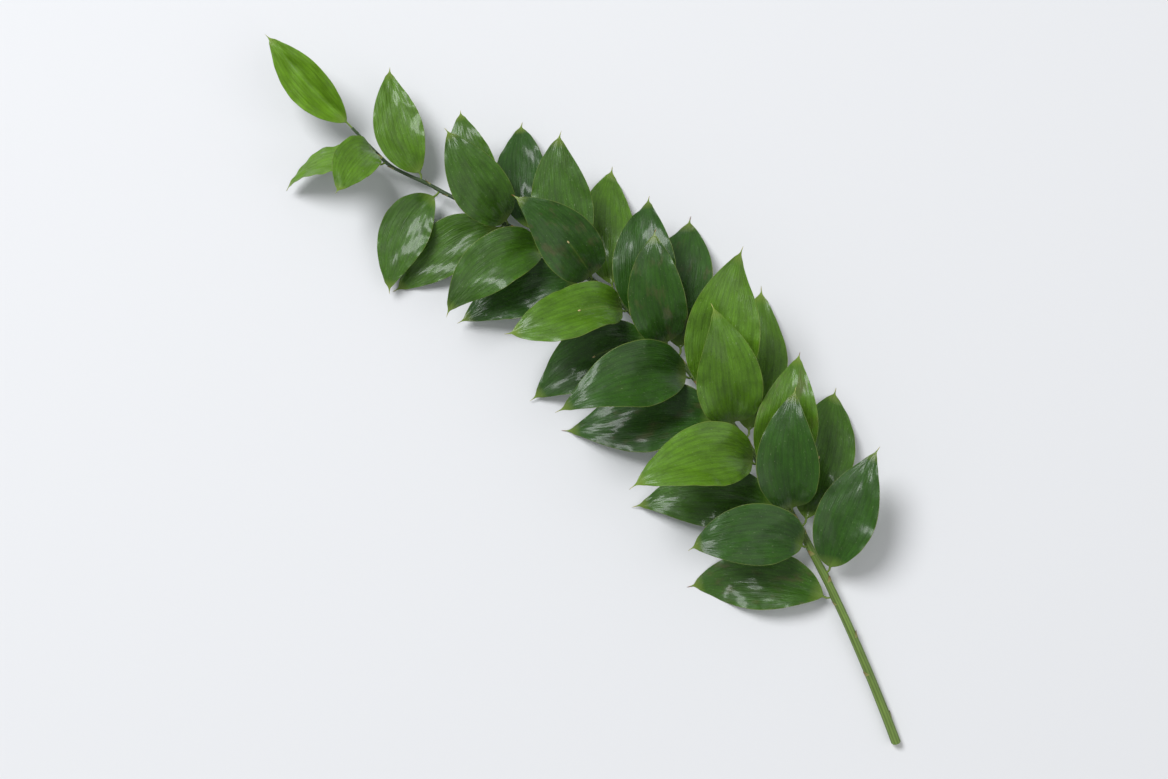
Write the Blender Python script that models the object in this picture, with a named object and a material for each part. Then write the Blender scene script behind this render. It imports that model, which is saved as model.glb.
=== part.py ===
"""A cut stem of broad-leaved ruscus, lying down on its leaves.

The stem runs along +X from its slanted cut end to its tip, in a gentle bow. Each leaf is a thin blade on a
short stalk whose root is sunk into the stem, and the stem and its leaves are fused into one body. A low leaf
lies out flat and touches the ground, and a high one stands over it and arches. The ground is z = 0, and the
origin is under the middle of the whole stem.
"""

import math
import random
from dataclasses import dataclass

import bmesh
import bpy
import numpy as np
from mathutils import Vector

# Driving dimensions, in metres, with angles in degrees. A station is a distance along the stem from its cut
# end.
STEM_LENGTH = 0.500
CUT_DIAMETER = 0.0054
TIP_DIAMETER = 0.0017
CUT_SLANT = 32

# The stem's course: its heading from +X seen from above, and its climb, each at a few stations.
HEADINGS = ((0, -23), (0.130, -15), (0.280, 1), (0.400, 19), (0.462, 21), (0.472, 6), (0.500, 4))
CLIMBS = ((0, 0), (0.060, 4), (0.140, 3.5), (0.210, 0.5), (0.300, -1), (0.420, -0.5), (0.460, 2), (0.500, 11))
ZIGZAG = 3.0

# A swelling under each leaf, and the short dry scale that stands off the stem just behind it.
KNOT_HEIGHT = 0.00035
KNOT_SPREAD = 0.0030
SCALE_HEIGHT = 0.0007
SCALE_LENGTH = 0.0045
SCALE_BEHIND = 0.0022
SCALE_BACK = 0.0004

# The blade's thickness, its stalk, its oval outline, the point and the soft spine that the oval is drawn out
# to, and the rounding of the fold along its middle. The shares are of the leaf's length.
BLADE_THICKNESS = 0.0007
STALK_WIDTH = 0.0015
STALK_THICKNESS = 0.0012
STALK_SHARE = 0.045
FULLNESS = 0.75
OVAL_ENDS = 0.95
POINT_SHARE = 0.09
POINT_WIDTH = 0.0044
SPINE_WIDTH = 0.0006
FOLD_ROUNDING = 0.0020
FLATTENED_BY = 0.6

# The ripple of the margins: how many waves a blade has, the shares of its length by which they are full and
# from which they fade towards the point, and how far one side lags the other.
WAVES = 1.6
RIPPLE_BY = 0.3
RIPPLE_FADES = 0.75
RIPPLE_LAG = 0.6

# How far outside the stem a leaf's own curve begins, how deep inside it the stalk is rooted, as a share of
# the stem's radius, and how softly a blade turns onto the ground.
LEAF_STANDS_OFF = 0.0014
ROOT_DEPTH = 0.6
FLOOR_SOFTNESS = 0.0012

# How finely everything is divided, and how much closer together a leaf's rows are towards its tip.
STEM_SIDES = 8
STEM_RINGS = 13
AXIS_STEP = 0.001
ROWS = 12
ROWS_CROWD = 1.25
HALF_COLUMNS = 2
MIDLINE_STEPS = 60
SHARP_ANGLE = 50

# The rule for the leaves that aren't placed by hand.
RULED_LEAVES = 22
FIRST_STATION = 0.092
LAST_STATION = 0.404
STATION_VARIES = 0.003
LONGEST_LEAF = 0.094
LONGEST_AT = 0.40
SHORTEST_LEAF = 0.074
LENGTH_VARIES = (0.90, 1.08)
WIDTH_SHARE = (0.405, 0.485)
WIDEST_SHARE = (0.39, 0.46)
STALK_YAW = 38
LEFT_YAW = (51, 81)
RIGHT_YAW = (35, 65)
TIP_TURNS = (-18, 24)
BASE_FOLD = 34
TIP_FOLD = (0, 12)
WAVE_HEIGHT = (0.0006, 0.0022)
SEED = 1033

# A leaf's yaws, pitches and rolls are given at these shares of its length.
SHARES = (0, 0.45, 1)

LEAF_GREEN = (0.060, 0.145, 0.034)


@dataclass
class Habit:
    """How one row's leaves sit: how far up the stem's side the stalk is, and ranges of pitch and of roll."""

    around: float
    pitches: tuple
    rolls: tuple


LOW = Habit(around=0, pitches=((7, 9), (-12, -2), (-36, -14)), rolls=((7, 9), (-8, 14), (-24, 24)))
HIGH = Habit(around=42, pitches=((38, 62), (8, 32), (-34, 2)), rolls=((7, 9), (-14, 28), (-30, 42)))


@dataclass
class Leaf:
    """One leaf. Its yaw, pitch and roll are each given at the three SHARES of its length.

    Yaw is the angle from the stem's heading to the leaf, seen from above. Pitch is its climb. A positive roll
    lifts the margin that faces the cut end. Fold is how far each half stands up from flat, at base and tip.
    Side is 1 on the stem's left and -1 on its right, and around is how far the stalk sits above that side.
    Widest is the share of the oval at which it is widest. Wave is the height of its margins' ripple.
    """

    station: float
    side: int
    around: float
    yaw: tuple
    pitch: tuple
    roll: tuple
    fold: tuple
    length: float
    width: float
    widest: float
    wave: float
    phase: float
    name: str = "leaf"


def ease(x):
    """A smooth step from 0 to 1."""
    x = np.clip(x, 0.0, 1.0)
    return x * x * (3 - 2 * x)


def direction(yaw, pitch):
    """The unit vectors along, left of and above a line that heads at yaw and climbs at pitch, in radians."""
    along = np.stack([np.cos(pitch) * np.cos(yaw), np.cos(pitch) * np.sin(yaw), np.sin(pitch)], axis=-1)
    left = np.stack([-np.sin(yaw), np.cos(yaw), np.zeros_like(yaw)], axis=-1)
    return along, left, np.cross(along, left)


def stem_radius(station):
    """Half the stem's plain thickness at a station."""
    left_over = 1 - np.clip(station / STEM_LENGTH, 0, 1)
    return (TIP_DIAMETER + (CUT_DIAMETER - TIP_DIAMETER) * left_over) / 2


class Axis:
    """The stem's centre line, which bends a little to the other side at each leaf."""

    def __init__(self, leaves):
        self.reach = np.arange(0, STEM_LENGTH + AXIS_STEP / 2, AXIS_STEP)
        bends = [ZIGZAG * leaf.side * leaf.station / STEM_LENGTH for leaf in leaves]
        zigzag = np.interp(self.reach, [leaf.station for leaf in leaves], bends)
        self.yaw = np.radians(np.interp(self.reach, *zip(*HEADINGS)) - zigzag)
        self.pitch = np.radians(np.interp(self.reach, *zip(*CLIMBS)))
        steps = direction(self.yaw, self.pitch)[0] * AXIS_STEP
        self.points = np.vstack([np.zeros(3), np.cumsum(steps[:-1], axis=0)])
        self.points[:, 2] += CUT_DIAMETER / 2 * math.cos(math.pi / STEM_SIDES)

    def at(self, station):
        """The point, the heading and the climb at a station."""
        point = np.array([np.interp(station, self.reach, self.points[:, i]) for i in range(3)])
        yaw = np.interp(station, self.reach, self.yaw)
        pitch = np.interp(station, self.reach, self.pitch)
        return point, yaw, pitch


def placed_leaves():
    """The leaves that are placed by hand: five that stand over the stem, and the five at its top."""
    rows = (
        (0.1455, -1, 76, (10, 26, 46), (66, 34, -12), (0, 10, 16), (32, 8), 0.084, 0.037, 0.42, 0.0012, 0.3),
        (0.2063, -1, 84, (22, 28, 20), (74, 42, -12), (0, 8, -12), (32, 6), 0.087, 0.039, 0.40, 0.0014, 0.6),
        (0.2673, -1, 78, (18, 34, 46), (70, 38, -10), (0, 12, 18), (32, 10), 0.080, 0.035, 0.44, 0.0013, 0.8),
        (0.3275, -1, 84, (10, 8, -6), (74, 40, -12), (0, 12, 4), (32, 10), 0.082, 0.036, 0.41, 0.0016, 0.4),
        (0.3880, -1, 80, (12, 24, 40), (66, 34, -16), (0, 8, -12), (32, 8), 0.076, 0.034, 0.43, 0.0010, 0.1),
        (0.4340, 1, 0, (66, 96, 112), (14, -2, -18), (0, 0, 8), (30, 6), 0.070, 0.031, 0.42, 0.0006, 0.1),
        (0.4470, -1, 24, (30, 50, 62), (30, 8, -14), (10, 0, -14), (32, 8), 0.072, 0.030, 0.41, 0.0008, 0.4),
        (0.4710, 1, 5, (34, 50, 84), (26, -4, -34), (4, 40, 46), (20, 14), 0.066, 0.027, 0.42, 0.0007, 0.7),
        (0.4800, 1, 78, (80, 104, 118), (78, 40, -2), (0, -4, -14), (26, 4), 0.054, 0.027, 0.45, 0.0010, 0.2),
        (STEM_LENGTH, 1, 0, (4, 0, -6), (16, 12, 2), (-14, -16, -6), (48, 38), 0.075, 0.033, 0.42, 0.0005, 0.9),
    )
    return [Leaf(*row) for row in rows]


def ruled_leaves(seed):
    """The other leaves, in turn low on the left, high on the right, high on the left and low on the right."""
    draw = random.Random(seed)
    leaves = []
    for k in range(RULED_LEAVES):
        share = k / (RULED_LEAVES - 1)
        side = 1 if k % 2 == 0 else -1
        habit = LOW if k % 4 in (0, 3) else HIGH
        grown = 1 - abs(share - LONGEST_AT) / max(LONGEST_AT, 1 - LONGEST_AT)
        length = (SHORTEST_LEAF + (LONGEST_LEAF - SHORTEST_LEAF) * grown) * draw.uniform(*LENGTH_VARIES)
        shifted = draw.uniform(-STATION_VARIES, STATION_VARIES)
        yaw = draw.uniform(*(LEFT_YAW if side > 0 else RIGHT_YAW))
        leaves.append(
            Leaf(
                station=FIRST_STATION + (LAST_STATION - FIRST_STATION) * share + shifted,
                side=side,
                around=habit.around,
                yaw=(STALK_YAW, yaw, yaw + draw.uniform(*TIP_TURNS)),
                pitch=tuple(draw.uniform(*span) for span in habit.pitches),
                roll=tuple(draw.uniform(*span) for span in habit.rolls),
                fold=(BASE_FOLD, draw.uniform(*TIP_FOLD)),
                length=length,
                width=length * draw.uniform(*WIDTH_SHARE),
                widest=draw.uniform(*WIDEST_SHARE),
                wave=draw.uniform(*WAVE_HEIGHT),
                phase=draw.random(),
            )
        )
    return leaves


def all_leaves(seed=SEED):
    """Every leaf, in order from the cut end and named by its place."""
    leaves = sorted(ruled_leaves(seed) + placed_leaves(), key=lambda leaf: leaf.station)
    for count, leaf in enumerate(leaves, start=1):
        leaf.name = f"leaf_{count:02d}"
    leaves[-1].name = "leaf_tip"
    return leaves


def half_width(leaf, u):
    """Half the blade's width at the share u of its length: a stalk, a full oval and a drawn-out point."""
    along = np.clip((u - STALK_SHARE) / (OVAL_ENDS - STALK_SHARE), 0, 1)
    before, beyond = along / leaf.widest, (1 - along) / (1 - leaf.widest)
    oval = before**FULLNESS * beyond ** (FULLNESS * (1 - leaf.widest) / leaf.widest)
    point = POINT_WIDTH / 2 * np.clip((1 - u) / POINT_SHARE, 0, 1) ** 2 * ease(u)
    least = np.where(u < leaf.widest, STALK_WIDTH / 2, SPINE_WIDTH / 2)
    return np.maximum(np.hypot(oval * leaf.width / 2, point), least)


def leaf_base(leaf, axis):
    """The point where a leaf's curve starts, the step back to its root, and the stem's heading there."""
    point, yaw, pitch = axis.at(leaf.station)
    along, left, up = direction(yaw, pitch)
    turned = math.radians(leaf.around)
    out = left * leaf.side * math.cos(turned) + up * math.sin(turned)
    radius = stem_radius(leaf.station)
    if leaf.station == STEM_LENGTH:
        return point + along * LEAF_STANDS_OFF, -along * (LEAF_STANDS_OFF + 2 * radius), yaw
    return point + out * (radius + LEAF_STANDS_OFF), -out * (LEAF_STANDS_OFF + ROOT_DEPTH * radius), yaw


def resting(height, floor):
    """Heights held at or above the floor, with a soft turn onto it."""
    above = height - floor
    soft = (above + FLOOR_SOFTNESS) ** 2 / (4 * FLOOR_SOFTNESS)
    held = np.where(above > FLOOR_SOFTNESS, above, np.where(above < -FLOOR_SOFTNESS, 0.0, soft))
    return floor + held


def blade_surface(leaf, axis, u, v):
    """The middle surface of a leaf at shares u along and v across it, from -1 to 1, kept off the ground."""
    base, _, heading = leaf_base(leaf, axis)
    fine = np.linspace(0, 1, MIDLINE_STEPS + 1)
    yaw = heading + leaf.side * np.radians(np.interp(fine, SHARES, leaf.yaw))
    pitch = np.radians(np.interp(fine, SHARES, leaf.pitch))
    along, left, up = direction(yaw, pitch)
    steps = (along[1:] + along[:-1]) / 2 * leaf.length / MIDLINE_STEPS
    line = base + np.vstack([np.zeros(3), np.cumsum(steps, axis=0)])

    def sampled(values):
        return np.stack([np.interp(u, fine, values[:, i]) for i in range(3)], axis=1)

    line, left, up = sampled(line), sampled(left), sampled(up)
    roll = leaf.side * np.radians(np.interp(u, SHARES, leaf.roll))[:, None]
    left, up = left * np.cos(roll) + up * np.sin(roll), up * np.cos(roll) - left * np.sin(roll)
    across = half_width(leaf, u)[:, None] * v[None, :]
    fold = np.radians(leaf.fold[0] + (leaf.fold[1] - leaf.fold[0]) * ease(u / FLATTENED_BY))[:, None]
    raised = (np.sqrt(across**2 + FOLD_ROUNDING**2) - FOLD_ROUNDING) * np.sin(fold)
    turns = WAVES * u[:, None] + leaf.phase + RIPPLE_LAG / 2 * np.sign(v)[None, :]
    height = leaf.wave * ease(u / RIPPLE_BY) * ease((1 - u) / (1 - RIPPLE_FADES))
    raised = raised + height[:, None] * np.sin(2 * math.pi * turns) * v[None, :] ** 2
    points = line[:, None, :] + left[:, None, :] * (across * np.cos(fold))[:, :, None]
    points = points + up[:, None, :] * raised[:, :, None]
    points[:, :, 2] = resting(points[:, :, 2], BLADE_THICKNESS / 2)
    return points


def surface_normals(points):
    """Unit normals of a grid of points."""
    normals = np.cross(np.gradient(points, axis=0), np.gradient(points, axis=1))
    return normals / np.linalg.norm(normals, axis=2, keepdims=True)


def add_sheet(mesh, points, upward):
    """Adds one face of a blade as triangles, with its last row drawn to a point; returns its vertices."""
    rows = [[mesh.verts.new(point) for point in row] for row in points[:-1]]
    tip = mesh.verts.new(points[-1, HALF_COLUMNS])
    grid = rows + [[tip] * points.shape[1]]
    for i in range(len(grid) - 1):
        for j in range(points.shape[1] - 1):
            a, b, c, d = grid[i][j], grid[i + 1][j], grid[i + 1][j + 1], grid[i][j + 1]
            triangles = ((a, b, d),) if b is c else ((a, b, c), (a, c, d))
            for corners in triangles:
                mesh.faces.new(corners if upward else corners[::-1])
    return grid


def leaf_mesh(leaf, axis):
    """A closed blade: two faces with the same triangles, a rim round them, and a stalk rooted in the stem."""
    u = 1 - np.linspace(1, 0, ROWS + 1) ** ROWS_CROWD
    u = np.sort(np.append(u, STALK_SHARE))
    v = np.linspace(-1, 1, 2 * HALF_COLUMNS + 1)
    points = blade_surface(leaf, axis, u, v)
    stalk = 1 - ease((u - STALK_SHARE) / STALK_SHARE)
    thickness = BLADE_THICKNESS + (STALK_THICKNESS - BLADE_THICKNESS) * stalk
    offset = surface_normals(points) * thickness[:, None, None] / 2
    points[0] += leaf_base(leaf, axis)[1]
    mesh = bmesh.new()
    upper = add_sheet(mesh, points + offset, upward=True)
    under = add_sheet(mesh, points - offset, upward=False)
    for i in range(len(u) - 1):
        mesh.faces.new((upper[i][0], under[i][0], under[i + 1][0], upper[i + 1][0]))
        mesh.faces.new((upper[i + 1][-1], under[i + 1][-1], under[i][-1], upper[i][-1]))
    for j in range(len(v) - 1):
        mesh.faces.new((upper[0][j], upper[0][j + 1], under[0][j + 1], under[0][j]))
    bmesh.ops.triangulate(mesh, faces=mesh.faces)
    return mesh


def stem_stations(leaves):
    """Where the stem has a ring: evenly along it, and at the start, the tip and the back of each scale."""
    stations = {0.0, *np.linspace(0, STEM_LENGTH, STEM_RINGS)}
    for leaf in leaves[:-1]:
        tip = leaf.station - SCALE_BEHIND
        stations |= {tip - SCALE_LENGTH, tip, tip + SCALE_BACK, leaf.station}
    kept = []
    for station in sorted(stations, reverse=True):
        if not kept or kept[-1] - station >= SCALE_BACK * 0.999:
            kept.append(station)
    return kept[::-1]


def ring_radius(station, angles, leaves):
    """The stem's half thickness at each angle round it, with the knots and the scales on it."""
    radius = np.full(len(angles), stem_radius(station))
    for leaf in leaves[:-1]:
        facing = math.radians(leaf.around if leaf.side > 0 else 180 - leaf.around)
        nearness = np.clip(np.cos(angles - facing), 0, 1) ** 2
        beyond = station - leaf.station
        radius += KNOT_HEIGHT * math.exp(-((beyond / KNOT_SPREAD) ** 2)) * nearness
        grown = 1 + (beyond + SCALE_BEHIND) / SCALE_LENGTH
        if 0 < grown <= 1.001:
            radius += SCALE_HEIGHT * grown * nearness
    return radius


def stem_mesh(leaves, axis):
    """The stem: a tapering rod with a slanted cut, a knot at each leaf and a dry scale behind it."""
    angles = (np.arange(STEM_SIDES) + 0.5) * 2 * math.pi / STEM_SIDES
    mesh = bmesh.new()
    rings = []
    for station in stem_stations(leaves):
        point, yaw, pitch = axis.at(station)
        along, left, up = direction(yaw, pitch)
        slant = math.tan(math.radians(CUT_SLANT)) if station == 0 else 0
        ring = []
        for angle, radius in zip(angles, ring_radius(station, angles, leaves)):
            out = left * math.cos(angle) + up * math.sin(angle)
            ring.append(mesh.verts.new(point + out * radius - along * slant * radius * math.sin(angle)))
        rings.append(ring)
    for first, second in zip(rings, rings[1:]):
        for i in range(STEM_SIDES):
            j = (i + 1) % STEM_SIDES
            mesh.faces.new((first[i], first[j], second[j], second[i]))
    mesh.faces.new(rings[0][::-1])
    mesh.faces.new(rings[-1])
    bmesh.ops.triangulate(mesh, faces=mesh.faces)
    return mesh


def material(name, colour, roughness):
    """A plain finish with one colour."""
    made = bpy.data.materials.new(name)
    made.use_nodes = True
    shader = made.node_tree.nodes["Principled BSDF"]
    shader.inputs["Base Color"].default_value = (*colour, 1)
    shader.inputs["Roughness"].default_value = roughness
    shader.inputs["Metallic"].default_value = 0
    made.diffuse_color = (*colour, 1)
    return made


def add_object(name, mesh, collection, finish):
    """Puts a mesh in a collection as an object."""
    data = bpy.data.meshes.new(name)
    mesh.to_mesh(data)
    mesh.free()
    data.materials.append(finish)
    made = bpy.data.objects.new(name, data)
    collection.objects.link(made)
    return made


def centring(meshes):
    """The shift that puts the origin under the middle of everything, with the lowest point on the ground."""
    points = np.array([vertex.co for mesh in meshes for vertex in mesh.verts])
    low, high = points.min(axis=0), points.max(axis=0)
    return Vector((-(low[0] + high[0]) / 2, -(low[1] + high[1]) / 2, -low[2]))


def fuse(stem, leaves):
    """Joins the leaves of a collection to the stem in one body, and removes them and their collection."""
    union = stem.modifiers.new("leaves", "BOOLEAN")
    union.operation = "UNION"
    union.operand_type = "COLLECTION"
    union.collection = leaves
    union.solver = "MANIFOLD"
    bpy.context.view_layer.update()
    evaluated = stem.evaluated_get(bpy.context.evaluated_depsgraph_get())
    fused = bpy.data.meshes.new_from_object(evaluated)
    stem.modifiers.clear()
    for leaf in list(leaves.objects):
        bpy.data.objects.remove(leaf)
    bpy.data.collections.remove(leaves)
    fused.shade_smooth()
    fused.set_sharp_from_angle(angle=math.radians(SHARP_ANGLE))
    stem.data = fused


def main():
    for old in list(bpy.data.objects):
        bpy.data.objects.remove(old)
    leaves = all_leaves()
    axis = Axis(leaves)
    stem = stem_mesh(leaves, axis)
    blades = [leaf_mesh(leaf, axis) for leaf in leaves]
    shift = centring([stem, *blades])
    for mesh in (stem, *blades):
        bmesh.ops.translate(mesh, verts=mesh.verts, vec=shift)

    green = material("leaf green", LEAF_GREEN, 0.35)
    foliage = bpy.data.collections.new("foliage")
    bpy.context.scene.collection.children.link(foliage)
    for leaf, blade in zip(leaves, blades):
        add_object(leaf.name, blade, foliage, green)
    leafy_stem = add_object("leafy_stem", stem, bpy.context.scene.collection, green)
    fuse(leafy_stem, foliage)


main()
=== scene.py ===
import math
import random
from dataclasses import dataclass

import bmesh
import bpy
import numpy as np
from mathutils import Matrix, Vector


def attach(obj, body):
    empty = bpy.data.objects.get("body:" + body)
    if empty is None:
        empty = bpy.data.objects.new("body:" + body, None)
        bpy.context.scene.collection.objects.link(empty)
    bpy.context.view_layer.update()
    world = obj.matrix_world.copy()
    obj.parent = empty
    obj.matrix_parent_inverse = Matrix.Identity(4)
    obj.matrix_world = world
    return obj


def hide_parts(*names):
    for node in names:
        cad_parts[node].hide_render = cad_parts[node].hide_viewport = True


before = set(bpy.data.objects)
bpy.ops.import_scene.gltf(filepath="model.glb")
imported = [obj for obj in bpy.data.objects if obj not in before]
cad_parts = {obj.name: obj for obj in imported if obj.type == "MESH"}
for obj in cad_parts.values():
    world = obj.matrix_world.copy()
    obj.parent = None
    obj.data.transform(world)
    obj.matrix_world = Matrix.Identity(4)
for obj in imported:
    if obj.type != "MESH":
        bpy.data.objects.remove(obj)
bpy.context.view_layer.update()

bl_info = {
    "name": "Ruscus stem",
    "version": (1, 0, 0),
    "blender": (4, 5, 0),
    "location": "3D View > Sidebar > Ruscus",
    "description": "Grows a cut stem of broad-leaved ruscus, lying on its leaves, and a studio for it",
    "category": "Object",
}

# Lengths are in metres and angles in degrees. A station is a distance along the stem from its cut end.
MM = 0.001
TURN = 2 * math.pi

# The stem's course: its heading from +X seen from above, and its climb, each at a few stations. It also
# bends away from each leaf, by up to the zigzag at its tip.
HEADINGS = ((0, -23), (0.130, -15), (0.280, 1), (0.400, 19), (0.462, 21), (0.472, 6), (0.500, 4))
CLIMBS = ((0, 0), (0.06, 4), (0.14, 3.5), (0.21, 0.5), (0.30, -1), (0.42, -0.5), (0.46, 2), (0.50, 11))
ZIGZAG = 3.0

# The stem's surface: the height of its ridges as a share of its radius, how many radians they wind in a
# metre, how far along the slant of the cut reaches, the swelling under each leaf, and the angle from which
# an edge is shaded sharp.
RIDGE_HEIGHT = 0.036
RIDGES_WIND = 9
SLANT_REACH = 6 * MM
KNOT_HEIGHT = 0.35 * MM
KNOT_SPREAD = 3.0 * MM
SHARP_EDGE = 40

# The dry scale behind each leaf, which wraps part of the stem, narrows to its tip and stands off there.
# Those on the bare stem are given by their station and their angle round it.
SCALE_LENGTH = 4.2 * MM
SCALE_LENGTH_VARIES = (0.6, 1.1)
SCALE_LIFT = (0.3 * MM, 0.7 * MM)
SCALE_BEHIND = 1.9 * MM
SCALE_CLEAR = 0.10 * MM
SCALE_WRAP = 64
SCALE_ROUNDING = 0.8
SCALE_TIP_WRAP = 0.03
SCALE_THICKNESS = 0.12 * MM
SCALE_SEED = 3
BARE_SCALES = ((0.018, 200), (0.044, 20), (0.068, 160))

# How each blade is shaped, from its stalk through its oval to the point and the soft spine at its tip. The
# point, the spine and the hook take up the last shares of its length, and the spine narrows by its taper. A
# leaf starts a little off the stem, and its root goes back in, by a share of the stem's radius.
STALK_WIDTH = 1.5 * MM
STALK_THICKNESS = 1.2 * MM
STALK_SHARE = 0.045
FULLNESS = 0.75
OVAL_ENDS = 0.95
POINT_SHARE = 0.09
POINT_WIDTH = 4.4 * MM
SPINE_WIDTH = 0.5 * MM
SPINE_SHARE = 0.025
SPINE_TAPER = 0.75
HOOK_SHARE = 0.12
FOLD_ROUNDING = 2.0 * MM
FLATTENED_BY = 0.6
LEAF_STANDS_OFF = 1.4 * MM
ROOT_DEPTH = 0.6
ROOT_SHARE = 0.02
FLOOR_SOFTNESS = 1.2 * MM
SHARES = (0, 0.45, 1)

# The ripple of the margins: how many waves a blade has, the shares of its length by which they are full and
# from which they fade towards the point, and how far one side lags the other.
WAVES = 1.6
RIPPLE_BY = 0.3
RIPPLE_FADES = 0.75
RIPPLE_LAG = 0.6

# The rule for the leaves that aren't listed one by one.
RULED_LEAVES = 22
FIRST_STATION = 0.092
LAST_STATION = 0.404
STATION_VARIES = 0.003
LONGEST_LEAF = 0.094
LONGEST_AT = 0.40
SHORTEST_LEAF = 0.074
LENGTH_VARIES = (0.90, 1.08)
WIDTH_SHARE = (0.405, 0.485)
WIDEST_SHARE = (0.39, 0.46)
STALK_YAW = 38
LEFT_YAW = (51, 81)
RIGHT_YAW = (35, 65)
TIP_TURNS = (-18, 24)
BASE_FOLD = 34
TIP_FOLD = (0, 12)
WAVE_HEIGHT = (0.0006, 0.0022)
SEED = 1033

# What differs from leaf to leaf. The tone runs from 0, mature green, to 1, fresh green, and is higher where
# the stem is young and on a few bright leaves. Then come how brown the spine is, how uneven the halves are,
# how many millimetres the point is hooked by, and the share of leaves that bear a bud.
VARY_SEED = 11
TONE_VARIES = 0.32
YOUNG_FROM = 0.40
YOUNG_OVER = 0.08
YOUNG_TONE = 0.24
BRIGHT_TONE = 0.34
BRIGHT_SHARE = 0.09
UNBROWNED_SHARE = 0.8
LEAST_BROWNED = 0.1
LOPSIDED = 0.05
HOOK = 1.6
BUDDED_SHARE = 0.16

# How finely everything is divided. The stem's ends are closed by further rings, given as shares of its
# radius, and the last column but one of a blade runs close to its margin.
AXIS_STEP = 1 * MM
STEM_SIDES = 48
STEM_RINGS = 501
CUT_RINGS = (0.03, 0.5, 0.88)
TIP_RINGS = (0.6, 0.05)
MIDLINE_STEPS = 120
BLADE_ROWS = 84
BLADE_COLUMNS = 48
NEAR_MARGIN = 0.985
SCALE_ROWS = 15
SCALE_COLUMNS = 13

# The rows and columns of each leaf that centre the plant in its frame, as many as centred the solids.
CENTRING_ROWS = 41
CENTRING_COLUMNS = 5

# The relief of a blade: large and small dents, with their numbers of waves along and across it, the main
# veins on each side of its middle, the crimp of its margins, and the raised nerve that fades at a bud. All
# of it rises beyond the stalk and fades before the point, from one share of the length and over another.
DENT_DEPTH = 0.34 * MM
DENT_WAVES = (2.6, 0.75)
SMALL_DENTS = 0.6
SMALL_DENT_WAVES = (4.4, 1.3)
MAIN_VEINS = 5
VEIN_RELIEF = 0.045 * MM
CRIMPS = 7.5
CRIMP_LAG = 0.18
CRIMP_HEIGHT = 0.32 * MM
NERVE_HEIGHT = 0.22 * MM
NERVE_WIDTH = 0.6 * MM
NERVE_FADES = (-0.04, 0.05)
RELIEF_RISES = (0.03, 0.15)
RELIEF_FADES = (0.84, 0.12)

# The bud: its share of the leaf's length, how far its middle is off the skin, the patch of skin that gives
# its slope, as shares of length and half width, half its length, width and height in millimetres, how it
# narrows all along and at its point, and how far the point turns up.
BUD_SHARE = 0.46
BUD_CLEAR = 0.4 * MM
BUD_PATCH = (0.01, 0.05)
BUD_SIZE = (1.1, 0.5, 0.42)
BUD_NARROWS = (0.35, 0.45)
BUD_TURNS_UP = 0.2

# Patterns drawn out along a leaf, a scale or the stem: how long and how wide a feature is in millimetres,
# and the two values that it is spread over. The streaks in the gloss and the lines on the stem are coarser
# than the real ones, which are too fine to show.
WAVERS = (12, 12, -0.02, 0.02)
LEAF_BLOTCHES = (14, 7, 0.76, 1.20)
LEAF_STREAKS = (18, 1.5, 0.92, 1.08)
FLECKS = (2.0, 1.2, 0, 1)
SCUFFS = (1.9, 0.8, 0, 1)
BRUISES = (16, 8, 0, 1)
GLOSS_STREAKS = (15, 0.9, 0, 1)
GLOSS_DIMPLES = (5, 4, 0, 1)
LEAF_ROUGHNESS = (9, 3, 0.36, 0.52)
UNDERSIDE_STREAKS = (12, 2, 0.82, 1.15)
STEM_STREAKS = (60, 1.1, 0.66, 1.3)
STEM_BLOTCHES = (14, 9, 0.84, 1.14)
STEM_LINES = (45, 0.5, 0, 1)
PAPERY_LINES = (5, 0.3, 0.6, 1.25)

# Fine veins on each half of a leaf, above and below. A real leaf has more, too fine to show.
FINE_VEINS = 15
UNDERSIDE_VEINS = 22

# Where a mask or a shade changes, as the inputs of its map range node: from 1 to 2 in what it follows, and
# from 3 to 4, or else from 0 to 1, in its own value. Lengths along the stem are in millimetres.
FINE_VEIN_SHADE = {1: -1.0, 2: 1.0, 3: 0.95, 4: 1.05}
MAIN_VEIN_SHADE = {1: 0.3, 2: 1.0, 3: 1.03, 4: 0.84}
FLECK_SHADE = {1: 0.72, 2: 1.0, 3: 1.0, 4: 0.66}
SCUFF_MASK = {1: 0.90, 2: 1.0, 3: 0.0, 4: 0.4}
BRUISE_MASK = {1: 0.62, 2: 0.95, 3: 0.0, 4: 0.45}
NERVE_MASK = {1: 0.045, 2: 0.01, 3: 0.0, 4: 0.32}
BEFORE_BUD = {1: BUD_SHARE + 0.02, 2: BUD_SHARE - 0.04}
STALK_MASK = {1: 0.15, 2: 0.02, 3: 0.0, 4: 0.85}
# The margin's pale line is part the blade's own pale edge and part painted highlight where the edge catches
# light.
PALE_EDGE_AND_HIGHLIGHT_MASK = {1: 0.975, 2: 0.99, 3: 0.0, 4: 0.32}
POINT_MASK = {1: 0.87, 2: 0.965, 3: 0.0, 4: 0.6}
SPINE_MASK = {1: 0.965, 2: 0.982}
YOUNG_STEM = {1: 60.0, 2: 420.0}
# Painted shade: darker in the grooves between the stem's ridges, a little lighter on their crests.
PAINTED_GROOVE_SHADE = {1: -1.0, 2: 0.6, 3: 0.62, 4: 1.12}
STRAND_MASK = {1: 0.10, 2: 0.32, 3: 1.0, 4: 0.0}

# How many strands of the pith and grains of the floor's card lie along a metre. At about 0.4 mm and 1 mm
# both are coarser than the real ones, so that they show.
PITH_STRANDS = 2600.0
CARD_GRAINS = 900.0

# The stage: how far the floor reaches, the point that the camera looks at, and the lamps. Each lamp has its
# place from that point, its diameter, its share of the main light's power and its colour. Places are given
# to the right, ahead and up, as seen in the picture.
FLOOR_REACH = 4
LOOKS_AT = (-0.024, -0.031, 0.02)
LAMPS = (
    ("key", (-1.8, 1.6, 3.4), 2.2, 1, "fafcff"),
    ("fill", (2.6, -1.0, 3.0), 4.4, 0.25, "ffffff"),
)


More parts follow.
